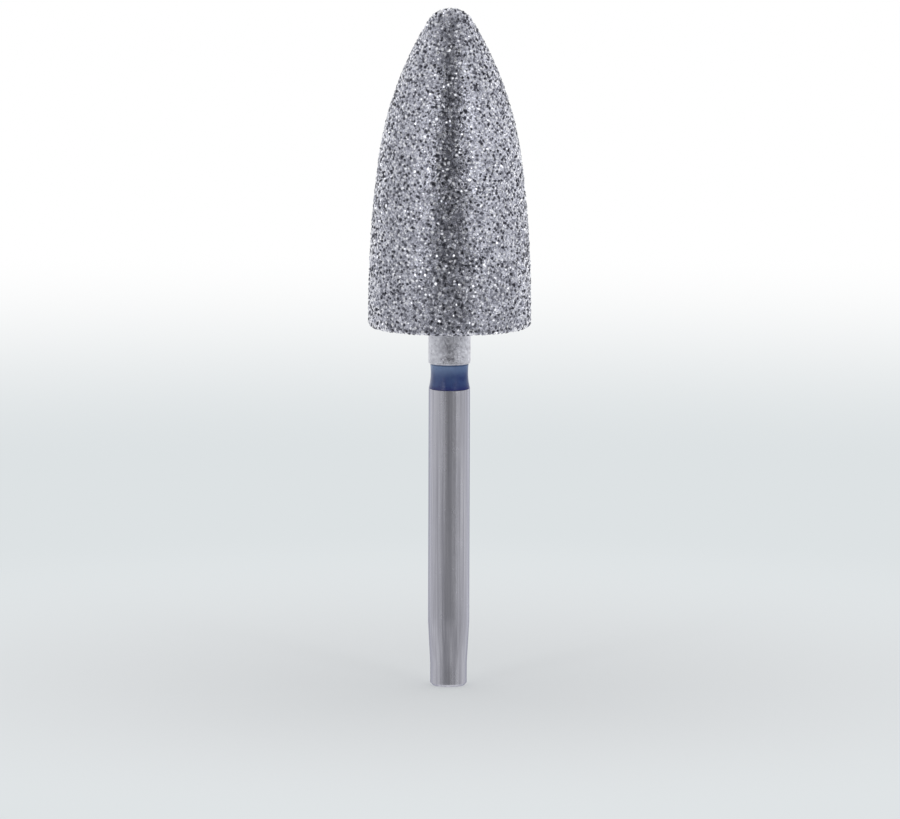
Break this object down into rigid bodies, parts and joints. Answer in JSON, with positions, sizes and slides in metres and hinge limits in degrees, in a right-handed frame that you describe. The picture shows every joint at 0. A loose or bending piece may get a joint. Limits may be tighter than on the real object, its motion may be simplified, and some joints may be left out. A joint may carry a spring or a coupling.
{
  "type": "dental bur",
  "caption": "Plated diamond bur with a long ogive head on a slim straight shank, and a blue grit-colour ring in a groove below its neck.",
  "frame": {"origin": "middle of the shank's end face", "axes": "+Z along the axis of the bur, from the shank's end to the tip of the head; X and Y are any two square directions"},
  "size_m": [0.0094, 0.0094, 0.0388],
  "materials": {
    "blank_steel": "ground, fine lengthwise streaks",
    "diamond_grit": "sparkling grit in grey nickel",
    "ring_enamel": "glossy blue enamel"
  },
  "bodies": {
    "root": {"steel_blank": "blank_steel", "diamond_layer": "diamond_grit", "colour_ring": "ring_enamel"}
  },
  "joints": []
}
